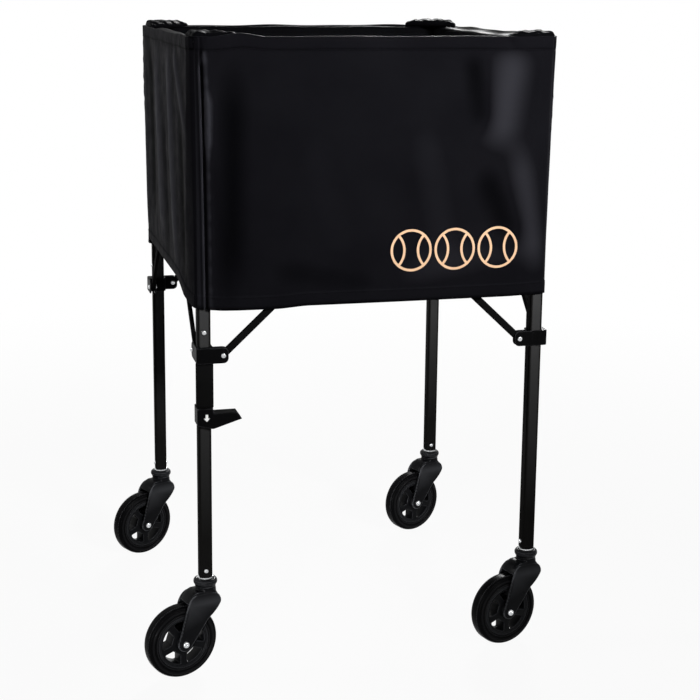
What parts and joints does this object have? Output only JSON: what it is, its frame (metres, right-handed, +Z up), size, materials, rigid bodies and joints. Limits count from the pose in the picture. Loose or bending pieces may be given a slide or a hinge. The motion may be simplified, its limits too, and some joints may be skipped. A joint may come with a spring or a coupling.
{
  "type": "folding ball cart",
  "caption": "Folding ball cart: an open square fabric bag on a scissor-braced frame of square legs with swivel casters and a drop pedal.",
  "frame": {"origin": "the middle of the overall box at floor level", "axes": "+Z up, -Y towards the front panel, -X towards the pedal leg"},
  "size_m": [0.7192, 0.653, 1.0936],
  "materials": {
    "black_tube": "satin powder coat",
    "black_plastic": "moulded satin",
    "caster_plastic": "moulded satin",
    "zinc_steel": "bright zinc plate",
    "tyre_rubber": "matt rubber",
    "black_nylon": "satin coated weave"
  },
  "bodies": {
    "leg_front_left": {"leg_tube_front_left": "black_tube", "top_bracket_front_left": "black_plastic", "stop_screw_front_left": "zinc_steel", "caster_stem_front_left": "zinc_steel", "corner_pocket_front_left": "black_nylon", "skirt_front": "black_nylon", "skirt_left": "black_nylon", "liner_front": "black_nylon", "liner_left": "black_nylon"},
    "leg_front_right": {"leg_tube_front_right": "black_tube", "top_bracket_front_right": "black_plastic", "stop_screw_front_right": "zinc_steel", "caster_stem_front_right": "zinc_steel", "corner_pocket_front_right": "black_nylon", "skirt_right": "black_nylon", "liner_right": "black_nylon"},
    "leg_back_right": {"leg_tube_back_right": "black_tube", "top_bracket_back_right": "black_plastic", "stop_screw_back_right": "zinc_steel", "caster_stem_back_right": "zinc_steel", "corner_pocket_back_right": "black_nylon"},
    "leg_back_left": {"leg_tube_back_left": "black_tube", "top_bracket_back_left": "black_plastic", "stop_screw_back_left": "zinc_steel", "caster_stem_back_left": "zinc_steel", "corner_pocket_back_left": "black_nylon", "skirt_back": "black_nylon", "liner_back": "black_nylon"},
    "slider_front_left": {"slider_front_left": "black_plastic", "pedal_link": "black_tube", "drop_pedal": "black_plastic"},
    "slider_front_right": {"slider_front_right": "black_plastic"},
    "slider_back_right": {"slider_back_right": "black_plastic"},
    "slider_back_left": {"slider_back_left": "black_plastic"},
    "inner_brace_front": {"brace_inner_front": "black_tube"},
    "outer_brace_front": {"brace_outer_front": "black_tube"},
    "inner_brace_right": {"brace_inner_right": "black_tube"},
    "outer_brace_right": {"brace_outer_right": "black_tube"},
    "inner_brace_back": {"brace_inner_back": "black_tube"},
    "outer_brace_back": {"brace_outer_back": "black_tube"},
    "inner_brace_left": {"brace_inner_left": "black_tube"},
    "outer_brace_left": {"brace_outer_left": "black_tube"},
    "floor_front": {"bag_floor_front": "black_nylon"},
    "floor_back": {"bag_floor_back": "black_nylon"},
    "caster_front_left": {"caster_fork_front_left": "caster_plastic", "wheel_axle_front_left": "zinc_steel"},
    "wheel_front_left": {"wheel_hub_front_left": "caster_plastic", "tyre_front_left": "tyre_rubber"},
    "caster_front_right": {"caster_fork_front_right": "caster_plastic", "wheel_axle_front_right": "zinc_steel"},
    "wheel_front_right": {"wheel_hub_front_right": "caster_plastic", "tyre_front_right": "tyre_rubber"},
    "caster_back_right": {"caster_fork_back_right": "caster_plastic", "wheel_axle_back_right": "zinc_steel"},
    "wheel_back_right": {"wheel_hub_back_right": "caster_plastic", "tyre_back_right": "tyre_rubber"},
    "caster_back_left": {"caster_fork_back_left": "caster_plastic", "wheel_axle_back_left": "zinc_steel"},
    "wheel_back_left": {"wheel_hub_back_left": "caster_plastic", "tyre_back_left": "tyre_rubber"}
  },
  "joints": [
    {"name": "fold", "type": "hinge", "parent": "leg_front_left", "child": "inner_brace_front", "pos_m": [-0.21962, -0.29111, 1.058], "axis": [0, 1, 0], "range_deg": [0, 40.4], "deforming": ["skirt_front", "skirt_right", "skirt_back", "skirt_left", "liner_front", "liner_right", "liner_back", "liner_left", "bag_floor_front", "bag_floor_back"]},
    {"name": "front_crossing", "type": "hinge", "parent": "inner_brace_front", "child": "outer_brace_front", "pos_m": [0.04288, -0.29781, 0.811], "axis": [0, 1, 0], "range_deg": [-80.8, 0]},
    {"name": "front_right_top_pivot", "type": "hinge", "parent": "outer_brace_front", "child": "leg_front_right", "pos_m": [0.30538, -0.29781, 1.058], "axis": [0, 1, 0], "range_deg": [0, 40.4]},
    {"name": "front_right_slider_pivot", "type": "hinge", "parent": "inner_brace_front", "child": "slider_front_right", "pos_m": [0.30538, -0.29111, 0.564], "axis": [0, 1, 0], "range_deg": [-40.4, 0]},
    {"name": "front_left_slider_pivot", "type": "hinge", "parent": "outer_brace_front", "child": "slider_front_left", "pos_m": [-0.21962, -0.29781, 0.564], "axis": [0, 1, 0], "range_deg": [0, 40.4]},
    {"name": "left_top_pivot", "type": "hinge", "parent": "leg_front_left", "child": "outer_brace_left", "pos_m": [-0.26472, -0.25271, 1.058], "axis": [-1, 0, 0], "range_deg": [0, 40.4]},
    {"name": "left_crossing", "type": "hinge", "parent": "outer_brace_left", "child": "inner_brace_left", "pos_m": [-0.25802, 0.00979, 0.811], "axis": [-1, 0, 0], "range_deg": [-80.8, 0]},
    {"name": "back_left_top_pivot", "type": "hinge", "parent": "inner_brace_left", "child": "leg_back_left", "pos_m": [-0.25802, 0.27229, 1.058], "axis": [-1, 0, 0], "range_deg": [0, 40.4]},
    {"name": "back_left_slider_pivot", "type": "hinge", "parent": "outer_brace_left", "child": "slider_back_left", "pos_m": [-0.26472, 0.27229, 0.564], "axis": [-1, 0, 0], "range_deg": [-40.4, 0]},
    {"name": "right_top_pivot", "type": "hinge", "parent": "leg_front_right", "child": "inner_brace_right", "pos_m": [0.34378, -0.25271, 1.058], "axis": [-1, 0, 0], "range_deg": [0, 40.4]},
    {"name": "right_crossing", "type": "hinge", "parent": "inner_brace_right", "child": "outer_brace_right", "pos_m": [0.35048, 0.00979, 0.811], "axis": [-1, 0, 0], "range_deg": [-80.8, 0]},
    {"name": "back_right_top_pivot", "type": "hinge", "parent": "outer_brace_right", "child": "leg_back_right", "pos_m": [0.35048, 0.27229, 1.058], "axis": [-1, 0, 0], "range_deg": [0, 40.4]},
    {"name": "back_right_slider_pivot", "type": "hinge", "parent": "inner_brace_right", "child": "slider_back_right", "pos_m": [0.34378, 0.27229, 0.564], "axis": [-1, 0, 0], "range_deg": [-40.4, 0]},
    {"name": "back_top_pivot", "type": "hinge", "parent": "leg_back_left", "child": "outer_brace_back", "pos_m": [-0.21962, 0.31739, 1.058], "axis": [0, 1, 0], "range_deg": [0, 40.4]},
    {"name": "back_crossing", "type": "hinge", "parent": "outer_brace_back", "child": "inner_brace_back", "pos_m": [0.04288, 0.31069, 0.811], "axis": [0, 1, 0], "range_deg": [-80.8, 0]},
    {"name": "floor_front_hinge", "type": "hinge", "parent": "leg_front_left", "child": "floor_front", "pos_m": [0.04288, -0.26691, 0.651], "axis": [-1, 0, 0], "range_deg": [0, 78.58]},
    {"name": "floor_back_hinge", "type": "hinge", "parent": "leg_back_left", "child": "floor_back", "pos_m": [0.04288, 0.28649, 0.651], "axis": [1, 0, 0], "range_deg": [0, 78.58]},
    {"name": "swivel_front_left", "type": "hinge", "parent": "leg_front_left", "child": "caster_front_left", "pos_m": [-0.25012, -0.28321, 0.15], "axis": [0, 0, 1], "continuous": true},
    {"name": "wheel_spin_front_left", "type": "hinge", "parent": "caster_front_left", "child": "wheel_front_left", "pos_m": [-0.29578, -0.29631, 0.0635], "axis": [-0.2756, 0.9613, 0], "continuous": true},
    {"name": "swivel_front_right", "type": "hinge", "parent": "leg_front_right", "child": "caster_front_right", "pos_m": [0.33588, -0.28321, 0.15], "axis": [0, 0, 1], "continuous": true},
    {"name": "wheel_spin_front_right", "type": "hinge", "parent": "caster_front_right", "child": "wheel_front_right", "pos_m": [0.29022, -0.29631, 0.0635], "axis": [-0.2756, 0.9613, 0], "continuous": true},
    {"name": "swivel_back_right", "type": "hinge", "parent": "leg_back_right", "child": "caster_back_right", "pos_m": [0.33588, 0.30279, 0.15], "axis": [0, 0, 1], "continuous": true},
    {"name": "wheel_spin_back_right", "type": "hinge", "parent": "caster_back_right", "child": "wheel_back_right", "pos_m": [0.29153, 0.28576, 0.0635], "axis": [-0.3584, 0.9336, 0], "continuous": true},
    {"name": "swivel_back_left", "type": "hinge", "parent": "leg_back_left", "child": "caster_back_left", "pos_m": [-0.25012, 0.30279, 0.15], "axis": [0, 0, 1], "continuous": true},
    {"name": "wheel_spin_back_left", "type": "hinge", "parent": "caster_back_left", "child": "wheel_back_left", "pos_m": [-0.29281, 0.28196, 0.0635], "axis": [-0.4384, 0.8988, 0], "continuous": true}
  ],
  "couplings": [
    {"joint": "front_crossing", "follows": "fold", "ratio": -2},
    {"joint": "front_right_top_pivot", "follows": "fold", "ratio": 1},
    {"joint": "front_right_slider_pivot", "follows": "fold", "ratio": -1},
    {"joint": "front_left_slider_pivot", "follows": "fold", "ratio": 1},
    {"joint": "left_top_pivot", "follows": "fold", "ratio": 1},
    {"joint": "left_crossing", "follows": "fold", "ratio": -2},
    {"joint": "back_left_top_pivot", "follows": "fold", "ratio": 1},
    {"joint": "back_left_slider_pivot", "follows": "fold", "ratio": -1},
    {"joint": "right_top_pivot", "follows": "fold", "ratio": 1},
    {"joint": "right_crossing", "follows": "fold", "ratio": -2},
    {"joint": "back_right_top_pivot", "follows": "fold", "ratio": 1},
    {"joint": "back_right_slider_pivot", "follows": "fold", "ratio": -1},
    {"joint": "back_top_pivot", "follows": "fold", "ratio": 1},
    {"joint": "back_crossing", "follows": "fold", "ratio": -2},
    {"joint": "floor_front_hinge", "follows": "fold", "ratio": 1.945},
    {"joint": "floor_back_hinge", "follows": "fold", "ratio": 1.945}
  ]
}
